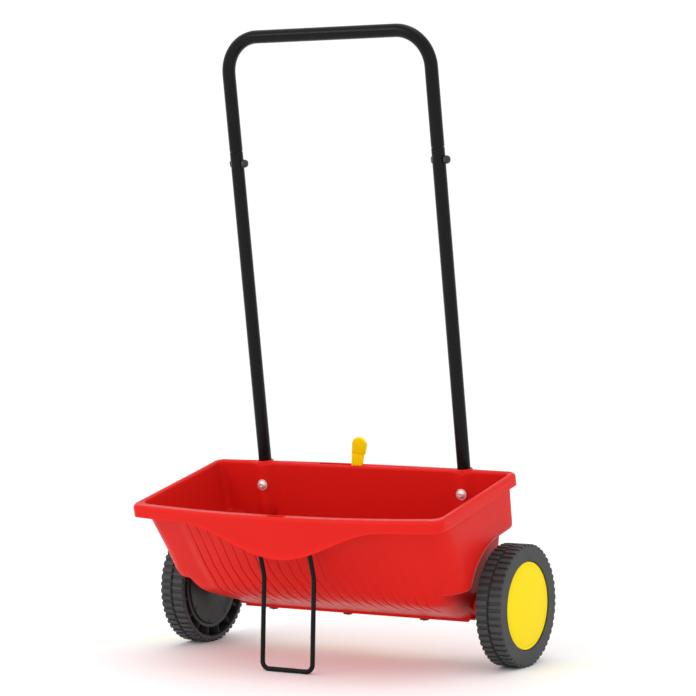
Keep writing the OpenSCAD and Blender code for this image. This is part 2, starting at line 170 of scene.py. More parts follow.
class SpreaderSettings(bpy.types.PropertyGroup):
    hopper: PointerProperty(type=SpreaderHopper, name="Hopper", description="The hopper")
    wheels: PointerProperty(type=SpreaderWheels, name="Wheels", description="The wheels")
    handle: PointerProperty(type=SpreaderHandle, name="Handle", description="The handle and stand")
    stage: PointerProperty(type=SpreaderStage, name="Stage", description="Camera, light and floor")


# ---------------------------------------------------------------- small sums

def smooth(value, low, high):
    """0 below low, 1 above high, with a soft turn between."""
    t = min(1.0, max(0.0, (value - low) / (high - low)))
    return t * t * (3 - 2 * t)


def mix(a, b, t):
    return a + (b - a) * t


def soft_max(a, b, k):
    """The larger of two numbers, blended where they are within k of each other."""
    h = max(k - abs(a - b), 0) / k
    return max(a, b) + h * h * k / 4


# ---------------------------------------------------------------- materials

def new_material(name):
    material = bpy.data.materials.new(name)
    material.use_nodes = True
    nodes = material.node_tree.nodes
    return material, nodes, material.node_tree.links, nodes["Principled BSDF"]


def noise_on(nodes, links, scale, detail=4.0, roughness=0.55, stretch=None):
    """A noise on the object's own coordinates, stretched where the finish runs one way."""
    place = nodes.new("ShaderNodeTexCoord")
    noise = nodes.new("ShaderNodeTexNoise")
    noise.inputs["Scale"].default_value = scale
    noise.inputs["Detail"].default_value = detail
    noise.inputs["Roughness"].default_value = roughness
    if stretch:
        mapping = nodes.new("ShaderNodeMapping")
        mapping.inputs["Scale"].default_value = stretch
        links.new(place.outputs["Object"], mapping.inputs["Vector"])
        links.new(mapping.outputs["Vector"], noise.inputs["Vector"])
    else:
        links.new(place.outputs["Object"], noise.inputs["Vector"])
    return noise.outputs["Fac"]


def ranged(nodes, links, source, low, high, from_low=0.3, from_high=0.7):
    remap = nodes.new("ShaderNodeMapRange")
    remap.inputs["From Min"].default_value = from_low
    remap.inputs["From Max"].default_value = from_high
    remap.inputs["To Min"].default_value = low
    remap.inputs["To Max"].default_value = high
    links.new(source, remap.inputs["Value"])
    return remap.outputs["Result"]


def blended(nodes, links, factor, first, second):
    """Mixes two colours, each a plain colour or a node's output."""
    mixer = nodes.new("ShaderNodeMix")
    mixer.data_type = "RGBA"
    links.new(factor, mixer.inputs["Factor"])
    for socket, colour in ((mixer.inputs[6], first), (mixer.inputs[7], second)):
        if isinstance(colour, (tuple, list)):
            socket.default_value = (*colour, 1)
        else:
            links.new(colour, socket)
    return mixer.outputs[2]


def edge_mask(nodes, links, low=0.51, high=0.58):
    """1 along outward edges, where handling rubs a surface bright."""
    geometry = nodes.new("ShaderNodeNewGeometry")
    return ranged(nodes, links, geometry.outputs["Pointiness"], 0, 1, low, high)


def bumped(nodes, links, shader, height, strength, distance):
    bump = nodes.new("ShaderNodeBump")
    bump.inputs["Strength"].default_value = strength
    bump.inputs["Distance"].default_value = distance
    links.new(height, bump.inputs["Height"])
    links.new(bump.outputs["Normal"], shader.inputs["Normal"])


def shade(colour, factor):
    return tuple(min(1.0, c * factor) for c in colour)


def moulded_plastic(name, colour, rough, grain, gloss=0.35, edge=1.25, mottled=0.06):
    """Injection-moulded plastic: slow flow marks, a fine surface grain and lighter worn edges."""
    material, nodes, links, shader = new_material(name)
    flow = noise_on(nodes, links, 9, 3)
    body = blended(nodes, links, flow, shade(colour, 1 - mottled), shade(colour, 1 + mottled))
    worn = blended(nodes, links, edge_mask(nodes, links), body, shade(colour, edge))
    links.new(worn, shader.inputs["Base Color"])
    skin = noise_on(nodes, links, 60, 5)
    links.new(ranged(nodes, links, skin, rough * 0.85, rough * 1.2), shader.inputs["Roughness"])
    bumped(nodes, links, shader, noise_on(nodes, links, grain, 1), 0.05, 0.0002)
    shader.inputs["Specular IOR Level"].default_value = gloss
    return material


def tyre_plastic(colour):
    """Satin wheel plastic with a little dust lying in the grooves."""
    material, nodes, links, shader = new_material("tyre plastic")
    dust = noise_on(nodes, links, 34, 6, 0.7)
    body = blended(nodes, links, ranged(nodes, links, dust, 0, 0.5), colour, shade(colour, 1.7))
    worn = blended(nodes, links, edge_mask(nodes, links, 0.52, 0.62), body, shade(colour, 2.0))
    links.new(worn, shader.inputs["Base Color"])
    links.new(ranged(nodes, links, dust, 0.42, 0.6), shader.inputs["Roughness"])
    bumped(nodes, links, shader, noise_on(nodes, links, 700, 2), 0.1, 0.0002)
    shader.inputs["Specular IOR Level"].default_value = 0.3
    return material


def stove_paint(name, colour, rough):
    """Gloss paint baked on steel, with the slight orange peel of a sprayed tube."""
    material, nodes, links, shader = new_material(name)
    drift = noise_on(nodes, links, 14, 3)
    body = blended(nodes, links, drift, shade(colour, 0.8), shade(colour, 1.4))
    worn = blended(nodes, links, edge_mask(nodes, links, 0.78, 0.92), body, (0.03, 0.03, 0.03))
    links.new(worn, shader.inputs["Base Color"])
    skin = noise_on(nodes, links, 130, 1)
    links.new(ranged(nodes, links, skin, rough * 0.8, rough * 1.3), shader.inputs["Roughness"])
    bumped(nodes, links, shader, skin, 0.03, 0.0002)
    shader.inputs["Specular IOR Level"].default_value = 0.13
    return material


def bright_zinc():
    """Zinc-plated steel with faint drawn lines and a cloudy, slightly warm plate."""
    material, nodes, links, shader = new_material("bright zinc")
    cloud = noise_on(nodes, links, 130, 4)
    links.new(blended(nodes, links, cloud, (0.74, 0.74, 0.72), (0.92, 0.92, 0.90)),
              shader.inputs["Base Color"])
    drawn = noise_on(nodes, links, 500, 3, stretch=(1, 1, 0.08))
    links.new(ranged(nodes, links, drawn, 0.34, 0.5), shader.inputs["Roughness"])
    bumped(nodes, links, shader, drawn, 0.15, 0.0001)
    shader.inputs["Metallic"].default_value = 0.6
    return material


MATERIALS = {}


def finish_for(slot):
    """The finish of each material slot of the record, made when it is first asked for."""
    if slot not in MATERIALS:
        props = settings()
        makers = {
            "red_plastic": lambda: moulded_plastic(
                "red hopper plastic", tuple(props.hopper.colour), 0.34, 150, 0.09, 1.12, 0.04),
            "yellow_plastic": lambda: moulded_plastic(
                "yellow disc plastic", tuple(props.wheels.disc_colour), 0.33, 150, 0.06, 1.08, 0.04),
            "black_plastic": lambda: tyre_plastic(tuple(props.wheels.tyre_colour)),
            "grey_plastic": lambda: moulded_plastic(
                "dark grey plastic", (0.014, 0.014, 0.015), 0.46, 500, 0.25, 1.8, 0.15),
            "black_tube": lambda: stove_paint("black tube paint", tuple(props.handle.colour), 0.24),
            "black_wire": lambda: stove_paint("black wire paint", tuple(props.handle.colour), 0.28),
            "zinc_steel": bright_zinc,
        }
        MATERIALS[slot] = makers[slot]()
    return MATERIALS[slot]


# ---------------------------------------------------------------- making meshes

def tidy(bm, gap=0.01):
    """Merges doubled vertices and turns every face outwards."""
    bmesh.ops.remove_doubles(bm, verts=bm.verts, dist=gap)
    bmesh.ops.recalc_face_normals(bm, faces=bm.faces)
    return bm


def lathe(profile, steps=64):
    """A closed outline of (radius, height) points spun round Z."""
    bm = bmesh.new()
    verts = [bm.verts.new((r, 0, z)) for r, z in profile]
    edges = [bm.edges.new((verts[i - 1], verts[i])) for i in range(len(verts))]
    bmesh.ops.spin(bm, geom=verts + edges, cent=(0, 0, 0), axis=(0, 0, 1), dvec=(0, 0, 0),
                   angle=2 * math.pi, steps=steps, use_merge=True, use_duplicate=False)
    bmesh.ops.remove_doubles(bm, verts=bm.verts, dist=0.001)
    bmesh.ops.dissolve_degenerate(bm, dist=0.001, edges=bm.edges)
    return tidy(bm)


def block(size, centre, edge=0.0, segments=2):
    """A box with its edges rounded."""
    bm = bmesh.new()
    bmesh.ops.create_cube(bm, size=1)
    bmesh.ops.scale(bm, vec=size, verts=bm.verts)
    bmesh.ops.translate(bm, vec=centre, verts=bm.verts)
    if edge:
        bmesh.ops.bevel(bm, geom=bm.edges[:], offset=edge, segments=segments, profile=0.5,
                        affect="EDGES", material=-1)
    return bm


def plate(outline, thickness, edge=0.0, segments=2):
    """A flat outline in XY given thickness towards +Z, with its rims rounded."""
    bm = bmesh.new()
    face = bm.faces.new([bm.verts.new((x, y, 0)) for x, y in outline])
    made = bmesh.ops.extrude_face_region(bm, geom=[face])
    top = [item for item in made["geom"] if isinstance(item, bmesh.types.BMVert)]
    bmesh.ops.translate(bm, vec=(0, 0, thickness), verts=top)
    tidy(bm)
    if edge:
        rims = [e for e in bm.edges if abs(e.verts[0].co.z - e.verts[1].co.z) < 1e-4]
        bmesh.ops.bevel(bm, geom=rims, offset=edge, segments=segments, profile=0.5,
                        affect="EDGES", material=-1)
    return bm


def add(bm, part, place=None):
    """Moves a part to its place and joins it to bm. A mirrored part is turned right side out."""
    if place is not None:
        bmesh.ops.transform(part, matrix=place, verts=part.verts)
        if place.determinant() < 0:
            bmesh.ops.reverse_faces(part, faces=part.faces)
    scratch = bpy.data.meshes.new("scratch")
    part.to_mesh(scratch)
    part.free()
    bm.from_mesh(scratch)
    bpy.data.meshes.remove(scratch)


def finish_piece(bm, name, body, nodes, slot, place=PARKED, sharp=38):
    """Turns a bmesh into a finished piece that rides on its body and stands for its CAD nodes."""
    bmesh.ops.transform(bm, matrix=place, verts=bm.verts)
    mesh = bpy.data.meshes.new(name)
    bm.to_mesh(mesh)
    bm.free()
    mesh.polygons.foreach_set("use_smooth", [True] * len(mesh.polygons))
    mesh.set_sharp_from_angle(angle=math.radians(sharp))
    mesh.materials.append(finish_for(slot))
    piece = bpy.data.objects.new(name, mesh)
    bpy.context.scene.collection.objects.link(piece)
    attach(piece, body)
    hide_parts(*nodes)
    return piece


def swept(points, radius, bends, sides=32):
    """A round bar along straight runs between points, with an arc of radius bends[i] at inner point i."""
    path = [Vector(points[0])]
    for i in range(1, len(points) - 1):
        here = Vector(points[i])
        back = (Vector(points[i - 1]) - here).normalized()
        ahead = (Vector(points[i + 1]) - here).normalized()
        half = back.angle(ahead) / 2
        reach = bends[i - 1] / math.tan(half)
        centre = here + (back + ahead).normalized() * (bends[i - 1] / math.sin(half))
        start = here + back * reach - centre
        end = here + ahead * reach - centre
        turn = start.angle(end)
        count = max(4, round(math.degrees(turn) / 5))
        for k in range(count + 1):
            t = k / count
            weight = math.sin((1 - t) * turn), math.sin(t * turn)
            path.append(centre + (start * weight[0] + end * weight[1]) / math.sin(turn))
    path.append(Vector(points[-1]))
    curve = bpy.data.curves.new("run", "CURVE")
    curve.dimensions = "3D"
    curve.bevel_depth = radius
    curve.bevel_resolution = sides // 4 - 1
    curve.use_fill_caps = True
    spline = curve.splines.new("POLY")
    spline.points.add(len(path) - 1)
    for point, co in zip(spline.points, path):
        point.co = (*co, 1)
    holder = bpy.data.objects.new("run", curve)
    bpy.context.scene.collection.objects.link(holder)
    made = bpy.data.meshes.new_from_object(holder.evaluated_get(bpy.context.evaluated_depsgraph_get()))
    bm = bmesh.new()
    bm.from_mesh(made)
    bpy.data.objects.remove(holder)
    bpy.data.curves.remove(curve)
    bpy.data.meshes.remove(made)
    return tidy(bm)


def along_x(start):
    return Matrix.Translation((start, 0, 0)) @ Matrix.Rotation(math.pi / 2, 4, "Y")


def along_u(x, u, v):
    """Carries a lathed part's axis on to +u."""
    return Matrix.Translation((x, u, v)) @ Matrix.Rotation(-math.pi / 2, 4, "X")


def at_tube(side):
    return Matrix.Translation((side * TUBE_X, TUBE_U, RIM_V)) @ Matrix.Rotation(-TUBE_LEAN, 4, "X")


# ---------------------------------------------------------------- the hopper's walls

FRONT_OFF = FRONT_U * math.cos(FRONT_ANGLE) - RIM_V * math.sin(FRONT_ANGLE)
FLOOR_OFF = OUTLET_FRONT * math.cos(FLOOR_ANGLE) - FLOOR_V * math.sin(FLOOR_ANGLE)
BOW_DEPTH = BOW * math.cos(FRONT_ANGLE)
BOW_R = (END_HALF ** 2 + BOW_DEPTH ** 2) / (2 * BOW_DEPTH)
INNER_R = FRONT_R - WALL
ARC_TOP_V = ARC_V - INNER_R * math.sin(FRONT_ANGLE)
ARC_FOOT_V = ARC_V - INNER_R * math.sin(FLOOR_ANGLE)
STEP_FRONT = STEP_FRONT_V + WALL
STEP_REAR = STEP_REAR_V + WALL
ARCH = ARCH_R + WALL
TOP_V = RIM_V - 3.0
FLARE_CORNER = 32.0
RIM_INNER_CORNER = 17.0
TROUGH_CORNER = 30.0
FRONT_INSET = 9.0
REAR_CORNER = 11.0
FRONT_TOP_X = 236.0
REAR_TOP_X = 250.0
LEDGE_ROUND = 5.0
LEDGE_FOOT = 4.0
LEDGE_SLOPE = 2.0
TROUGH_TOP_CORNER = 13.0
SWELL_HALF = 25.0
SWELL_FOOT_V = 104.0
SWELL_TOP_V = 124.0
LIP_DROP = 19.0
OUTER_ROUND = 5.5
INNER_ROUND = 3.5
NOTCH_HALF = 13.5
NOTCH_DEPTH = 2.6
LEVER_SLOT_HALF = 40.5
LEVER_SLOT_SHIFT = 2.5


def straight_front(v):
    return -(FRONT_OFF - WALL + math.sin(FRONT_ANGLE) * v) / math.cos(FRONT_ANGLE)


def section_front(v):
    """Inner face of the front wall at mid width: a straight, an arc and the sloping floor."""
    if v >= ARC_TOP_V:
        return straight_front(v)
    if v >= ARC_FOOT_V:
        return ARC_U - math.sqrt(INNER_R ** 2 - (v - ARC_V) ** 2)
    return -(FLOOR_OFF - WALL + math.sin(FLOOR_ANGLE) * v) / math.cos(FLOOR_ANGLE)


def front_wall(x, v):
    bowed = straight_front(v) + (BOW_R - math.sqrt(BOW_R ** 2 - x * x)) / math.cos(FRONT_ANGLE)
    return soft_max(section_front(v), bowed, 4.0)


def rear_wall(v):
    inner = REAR_U - WALL
    if v >= KNEE_V:
        return inner
    slope = (REAR_U - OUTLET_REAR) / (KNEE_V - FLOOR_V)
    return inner - slope * (KNEE_V - v)


def rear_face(x, v):
    """The rear wall, swelling inwards over each socket."""
    out = min(1.0, abs(abs(x) - TUBE_X) / SWELL_HALF)
    front = TUBE_U - (RIM_V - v) * math.tan(TUBE_LEAN) - SOCKET_R - 0.3
    swell = max(0.0, rear_wall(v) - front) * smooth(v, SWELL_FOOT_V, SWELL_TOP_V)
    return rear_wall(v) - swell * math.cos(out * math.pi / 2) ** 2


def flare_half(v):
    return END_LOW_HALF - WALL + (v - END_LOW_V) * (END_HALF - END_LOW_HALF) / (RIM_V - END_LOW_V)


def trough_half(v):
    return TROUGH_HALF - WALL + (v - FLOOR_V) * (TROUGH_TOP_HALF - TROUGH_HALF) / (STEP_REAR_V - FLOOR_V)


def front_corner(v):
    return mix(FLARE_CORNER, RIM_INNER_CORNER, smooth(v, 90, RIM_V))


def front_columns_half(v):
    """Half width of the columns of the front wall, which draw together going down."""
    low = trough_half(min(v, STEP_FRONT)) - FRONT_INSET
    return mix(low, FRONT_TOP_X, max(0.0, (v - STEP_FRONT) / (RIM_V - STEP_FRONT)))


def front_x(t, v):
    """Where a column of the front wall stands at height v."""
    across = t * FRONT_TOP_X
    squeeze = 1 - front_columns_half(v) / FRONT_TOP_X
    return across * (1 - squeeze * abs(t) ** (1 if t < 0 else 3)) + flute_drift(v) * (1 - t * t)


def rear_columns_half(v):
    low = trough_half(min(v, STEP_REAR)) - REAR_CORNER
    return mix(low, REAR_TOP_X, max(0.0, (v - STEP_REAR) / (RIM_V - STEP_REAR)))


# A station is a place round the hopper: (zone, share along the zone, side)
FLUTE_SHARES = (0.0, 0.09, 0.24, 0.42, 0.63, 0.83, 0.955)
FLUTES_FROM = -198.0
FIRST_EDGE = -186.0
FLUTE_PITCH = 19.05


def flute_edges():
    """Where each flute ends high on the wall: evenly spaced, a little wider to the right."""
    edges = [FLUTES_FROM]
    for k in range(settings().hopper.flutes):
        edges.append(FIRST_EDGE + FLUTE_PITCH * k + 0.12 * max(0, k - 9) ** 2)
    return edges


def front_shares():
    """Shares along the front wall of its columns, and the place of each column in its flute."""
    edges = flute_edges()
    places = [(-FRONT_TOP_X, None), (-224.0, None), (-211.0, None)]
    for low, high in zip(edges[:-1], edges[1:]):
        places += [(mix(low, high, share), share) for share in FLUTE_SHARES]
    places += [(edges[-1], 0.0), (mix(edges[-1], FRONT_TOP_X, 0.2), None),
               (mix(edges[-1], FRONT_TOP_X, 0.6), None), (FRONT_TOP_X, None)]
    return [(x / FRONT_TOP_X, share) for x, share in places]


def flute_drift(v):
    """How far the flutes have run to the right at height v, as they curl under the hopper."""
    return 12.0 * smooth(94 - v, 0, 44) - 17.0 * smooth(30 - v, 0, 28)


OUTER_FRONT = 8
CORNER = 8
END = 26
OUTER_REAR = 6
REAR = 100


def stations():
    front = [share for share, _place in front_shares()]
    right = [("outer_front", k / OUTER_FRONT, 1) for k in range(1, OUTER_FRONT)]
    right += [("front_corner", k / CORNER, 1) for k in range(CORNER)]
    right += [("end", k / END, 1) for k in range(END)]
    right += [("rear_corner", k / CORNER, 1) for k in range(CORNER)]
    right += [("outer_rear", k / OUTER_REAR, 1) for k in range(OUTER_REAR)]
    left = [(zone, share, -1) for zone, share, _side in reversed(right)]
    rear = [("rear", 1 - 2 * k / REAR, 1) for k in range(REAR + 1)]
    return [("front", share, 1) for share in front] + right + rear + left


def outline_point(station, half, columns, corners, front, rear):
    """A point (x, u) of a rounded outline at a station."""
    zone, t, side = station
    front_r, rear_r = corners
    front_end, rear_end = columns
    front_c = front(half - front_r) + front_r
    rear_c = rear(half - rear_r) - rear_r
    if zone == "front":
        return t * front_end, front(t * front_end)
    if zone == "rear":
        return t * rear_end, rear(t * rear_end)
    if zone == "outer_front":
        x = mix(front_end, half - front_r, t)
        return side * x, front(x)
    if zone == "outer_rear":
        x = mix(half - rear_r, rear_end, t)
        return side * x, rear(x)
    if zone == "end":
        return side * half, mix(front_c, rear_c, t)
    turn = t * math.pi / 2
    if zone == "front_corner":
        return side * (half - front_r + front_r * math.sin(turn)), front_c - front_r * math.cos(turn)
    return side * (half - rear_r + rear_r * math.cos(turn)), rear_c + rear_r * math.sin(turn)


def flare_point(station, v):
    corner = front_corner(v)
    if station[0] == "front":
        x = front_x(station[1], v)
        return x, front_wall(x, v)
    return outline_point(
        station, flare_half(v), (front_columns_half(v), rear_columns_half(v)), (corner, REAR_CORNER),
        lambda x: front_wall(x, v), lambda x: rear_face(x, v))


def lip_point(station):
    return outline_point(
        station, LIP_HALF, (FRONT_TOP_X, REAR_TOP_X), (LIP_CORNER, LIP_CORNER),
        lambda x: BOW * (x / LIP_HALF) ** 2 - LIP_FRONT, lambda x: LIP_REAR - 8 * (x / LIP_HALF) ** 2)


def step_height(station):
    """Height at which the flare's end turns in to the trough: front ledge, wheel arch, rear ledge."""
    zone = station[0]
    if zone in ("front", "outer_front", "front_corner"):
        return STEP_FRONT
    if zone in ("rear", "outer_rear", "rear_corner"):
        return STEP_REAR
    v = STEP_REAR
    for _round in range(30):
        u = flare_point(station, v)[1]
        arch = math.sqrt(max(ARCH ** 2 - min(u, 0) ** 2, 0))
        arch = mix(arch, STEP_REAR, smooth(u, -30, 5))
        v = mix(v, max(STEP_FRONT, arch), 0.5)
    return v


def trough_share(station, step):
    """How far along the trough's end wall the station's flare point lies."""
    zone, t, _side = station
    order = {"front_corner": t * 0.12, "end": mix(0.12, 0.88, t), "rear_corner": mix(0.88, 1.0, t)}
    u = flare_point(station, step)[1]
    low = trough_front(trough_half(step), step)
    high = rear_wall(step) - REAR_CORNER
    held = min(1.0, max(0.0, (u - low) / (high - low)))
    return mix(held, order[zone], 0.45)


def trough_corner(v):
    return mix(TROUGH_CORNER, TROUGH_TOP_CORNER, smooth(v, 25, STEP_FRONT))


def trough_front(x, v):
    """The trough's front wall, turned back by the large radius of its corners."""
    corner = trough_corner(v)
    beyond = abs(x) - (trough_half(v) - corner)
    if beyond <= 0:
        return front_wall(x, v)
    room = min(corner, 0.6 * (rear_wall(v) - front_wall(trough_half(v), v)))
    turn = math.asin(min(1.0, beyond / corner))
    return front_wall(x, v) + room * (1 - math.cos(turn))


def trough_point(station, v, share):
    """The trough's outline: its corners take the flare's outer columns, its end takes the rest."""
    zone, t, side = station
    half = trough_half(v)
    if zone == "front":
        x = front_x(t, v)
        return x, trough_front(x, v)
    if zone == "rear":
        return t * rear_columns_half(v), rear_wall(v)
    rear_r = min(REAR_CORNER, 0.35 * (rear_wall(v) - front_wall(half, v)))
    rear_c = rear_wall(v) - rear_r
    if zone == "outer_front":
        corner = trough_corner(v)
        start = math.asin(1 - FRONT_INSET / corner)
        x = half - corner + corner * math.sin(mix(start, math.pi / 2, t))
        return side * x, trough_front(x, v)
    if zone == "outer_rear":
        turn = (1 - t) * math.pi / 2
        x = half - REAR_CORNER + REAR_CORNER * math.sin(turn)
        return side * x, rear_c + rear_r * math.cos(turn)
    return side * half, mix(trough_front(half, v), rear_c, share)


def apron_reach(x):
    """How far the front edge of the rim hangs down at x."""
    swing = min(1.0, abs(x - 3) / 182)
    return settings().hopper.apron_drop * math.cos(swing * math.pi / 2) ** 2


def flute_relief(station, x, v):
    """Outward relief of the front wall: each flute rolls outwards to the right and ends in a sharp step."""
    if station[0] != "front":
        return 0.0
    share = FLUTE_PLACE[station[1]]
    if share is None:
        return 0.0
    roll = -0.30 if share == 0.0 else 1 - (1 - share) ** 2.2
    faint = 1 - 0.9 * smooth(x, 35, 95) * smooth(v, 44, 62)
    fade = faint * smooth(v, 3, 12) * (1 - smooth(v, 172, 182)) * mix(1, 0.5, smooth(v, 90, 150))
    return settings().hopper.flute_depth * roll * fade


FLUTE_PLACE = {}
LIP_ROWS = 5
ROUND_ROWS = 5
# Rows of the rim's land: (share across it, how far it lies below the rim)
LAND_ROWS = ((0.05, 0.0), (0.50, 0.0), (0.56, 0.5), (0.92, 0.5))
LAND_DROP = 0.5
UPPER_ROWS = 22
LEDGE_ROWS = 8
LOWER_ROWS = 16


def wall_column(station):
    """The points from the lip's lower edge, over the rim and down the inside to the outlet."""
    lip = Vector(lip_point(station))
    inner = Vector(flare_point(station, RIM_V))
    across = (inner - lip).normalized()
    outer_r, inner_r = OUTER_ROUND, INNER_ROUND
    low = RIM_V - LIP_DROP
    if station[0] == "front":
        low -= apron_reach(lip.x)
    column = []
    for k in range(LIP_ROWS):
        column.append((*lip, mix(low, RIM_V - outer_r, k / LIP_ROWS)))
    for k in range(ROUND_ROWS):
        turn = k / (ROUND_ROWS - 1) * math.pi / 2
        p = lip + across * outer_r * (1 - math.cos(turn))
        column.append((*p, RIM_V - outer_r * (1 - math.sin(turn))))
    for share, drop in LAND_ROWS:
        p = (lip + across * outer_r).lerp(inner - across * inner_r, share)
        column.append((*p, RIM_V - drop))
    for k in range(ROUND_ROWS):
        turn = k / (ROUND_ROWS - 1) * math.pi / 2
        p = inner - across * inner_r * (1 - math.sin(turn))
        column.append((*p, RIM_V - LAND_DROP - inner_r * (1 - math.cos(turn))))
    step = step_height(station)
    plain = station[0] in ("front", "rear")
    share = 0.0 if plain or "outer" in station[0] else trough_share(station, step)
    flare_foot = Vector(flare_point(station, step))
    trough_top = Vector(trough_point(station, step, share))
    gap = (trough_top - flare_foot).length
    inward = (trough_top - flare_foot) / gap if gap > 0.01 else Vector((0, 0))
    bend = min(LEDGE_ROUND, gap * 0.45)
    foot = min(LEDGE_FOOT, gap * 0.3)
    upper_foot = step + (LEDGE_SLOPE if plain else max(bend, 0.5))
    lower_top = step - (LEDGE_SLOPE if plain else max(foot, 0.5))
    for k in range(1, UPPER_ROWS + 1):
        v = mix(TOP_V, upper_foot, k / (UPPER_ROWS + 1))
        column.append((*flare_point(station, v), v))
    for k in range(LEDGE_ROWS):
        if plain:
            v = mix(upper_foot, lower_top, k / (LEDGE_ROWS - 1))
            above, below = Vector(flare_point(station, v)), Vector(trough_point(station, v, 0))
            column.append((*above.lerp(below, smooth(k, 0, LEDGE_ROWS - 1)), v))
            continue
        half = LEDGE_ROWS // 2
        if k < half:
            turn = k / (half - 1) * math.pi / 2
            p = flare_foot + inward * bend * (1 - math.cos(turn))
            column.append((*p, step + bend * (1 - math.sin(turn))))
        else:
            turn = (k - half) / (half - 1) * math.pi / 2
            p = trough_top - inward * foot * (1 - math.sin(turn))
            column.append((*p, step - foot * (1 - math.cos(turn))))
    for k in range(1, LOWER_ROWS + 1):
        v = mix(lower_top, FLOOR_V + WALL, k / LOWER_ROWS)
        column.append((*trough_point(station, v, share), v))
    return column


def outward(v):
    """Direction square to the front wall, on its outside, at height v."""
    lean = mix(FLOOR_ANGLE, FRONT_ANGLE, smooth(v, ARC_FOOT_V - 10, ARC_TOP_V + 10))
    return Vector((0, -math.cos(lean), -math.sin(lean)))


def wall_sheet():
    """The hopper's inner face, its rim and the outside of its lip, as one sheet."""
    FLUTE_PLACE.update(front_shares())
    ring = stations()
    first_wall_row = LIP_ROWS + 2 * ROUND_ROWS + len(LAND_ROWS)
    columns = [[Vector(point) for point in wall_column(station)] for station in ring]
    rows = len(columns[0])
    bm = bmesh.new()
    relief = bm.verts.layers.float.new("relief")
    bmesh.ops.create_grid(bm, x_segments=len(ring), y_segments=rows - 1, size=1)
    doomed = []
    land = range(LIP_ROWS + ROUND_ROWS, LIP_ROWS + ROUND_ROWS + len(LAND_ROWS))
    for face in bm.faces:
        centre = face.calc_center_median()
        s = int((centre.x + 1) / 2 * len(ring))
        row = int((centre.y + 1) / 2 * (rows - 1))
        zone, t, _side = ring[s % len(ring)]
        off = abs(t * REAR_TOP_X - LEVER_SLOT_SHIFT - LEVER_PIVOT.x)
        if zone == "rear" and row in land[:-1] and off < LEVER_SLOT_HALF:
            doomed.append(face)
    sunk = set()
    for vert in bm.verts:
        s = round((vert.co.x + 1) / 2 * len(ring)) % len(ring)
        row = round((vert.co.y + 1) / 2 * (rows - 1))
        zone, t, _side = ring[s]
        vert.co = columns[s][row]
        if row >= first_wall_row:
            vert[relief] = flute_relief(ring[s], vert.co.x, vert.co.z)
        if zone == "front" and abs(vert.co.x) < NOTCH_HALF and row in land:
            sunk.add(vert)
    for vert in sunk:
        vert.co.z -= NOTCH_DEPTH
    bmesh.ops.delete(bm, geom=doomed, context="FACES")
    bmesh.ops.remove_doubles(bm, verts=bm.verts, dist=0.02)
    bmesh.ops.dissolve_degenerate(bm, dist=0.02, edges=bm.edges)
    return bm


def shelled(bm, thickness):
    """Gives a sheet its thickness on its back, and raises the flutes there."""
    inner_count = len(bm.verts)
    mesh = bpy.data.meshes.new("sheet")
    bm.to_mesh(mesh)
    bm.free()
    holder = bpy.data.objects.new("sheet", mesh)
    bpy.context.scene.collection.objects.link(holder)
    wall = holder.modifiers.new("wall", "SOLIDIFY")
    wall.thickness = thickness
    wall.offset = -1
    wall.use_quality_normals = True
    made = bpy.data.meshes.new_from_object(holder.evaluated_get(bpy.context.evaluated_depsgraph_get()))
    out = bmesh.new()
    out.from_mesh(made)
    relief = out.verts.layers.float["relief"]
    for vert in out.verts:
        if vert.index >= inner_count:
            vert.co += outward(vert.co.z) * vert[relief]
    bpy.data.objects.remove(holder)
    bpy.data.meshes.remove(mesh)
    bpy.data.meshes.remove(made)
    return out


def socket():
    """Socket that takes a handle tube: a round rib on the rear wall with a deep bore."""
    return lathe([(10.65, -84), (10.65, 1.5), (11.0, 1.9), (12.2, 1.9), (13.2, 1.2), (SOCKET_R, -0.3),
                  (SOCKET_R, -84), (11, -88), (0, -88), (0, -84)], 48)


def outlet_floor(bm):
    """The floor under the agitator, with its row of outlet slots, and the rails below it."""
    half = trough_half(FLOOR_V) + WALL
    for low, high in ((-6.0, 1.0), (15.0, 22.0)):
        add(bm, block((2 * half, high - low, WALL), (0, (low + high) / 2, FLOOR_V + WALL / 2)))
    first = -(SLOT_COUNT - 1) / 2 * SLOT_PITCH
    edges = [-half] + [first + i * SLOT_PITCH + side * 5.5 for i in range(SLOT_COUNT) for side in (-1, 1)]
    edges.append(half)
    for low, high in zip(edges[::2], edges[1::2]):
        add(bm, block((high - low, 15.0, WALL), ((low + high) / 2, 8.0, FLOOR_V + WALL / 2)))
    add(bm, block((412, 3.6, 6.3), (0, -6.2, -28.15), 0.4))
    for low, high in ((-206.0, -52.3), (-17.7, 206.0)):
        add(bm, block((high - low, 3.6, 6.3), ((low + high) / 2, 22.2, -28.15), 0.4))


class SPREADER_OT_hopper(bpy.types.Operator):
    """Makes the hopper: walls, rolled rim, apron, flutes, wheel arches, sockets and outlet"""

    bl_idname = "spreader.hopper"
    bl_label = "Hopper"

    def execute(self, context):
        bm = shelled(wall_sheet(), WALL)
        for side in (-1, 1):
            add(bm, socket(), at_tube(side))
            boss = lathe([(9.05, 206), (9.05, 227), (15.2, 227), (16, 226.2), (16, 206)], 40)
            flip = MIRROR_X if side < 0 else Matrix()
            add(bm, boss, flip @ along_x(0))
        pivot = lathe([(1.6, -14), (1.6, 4.3), (3.6, 4.3), (4, 3.9), (4, -0.4), (8.4, -0.4), (9, -1),
                       (9, -14)], 32)
        add(bm, pivot, along_u(LEVER_PIVOT.x, LEVER_PIVOT.y, LEVER_PIVOT.z))
        outlet_floor(bm)
        finish_piece(bm, "hopper", "hopper", ["hopper_tub"], "red_plastic", sharp=46)
        return {"FINISHED"}


# ---------------------------------------------------------------- wheels

WHEEL_W = 42.5
WHEEL_IN = 268.0
LUG_H = 2.6


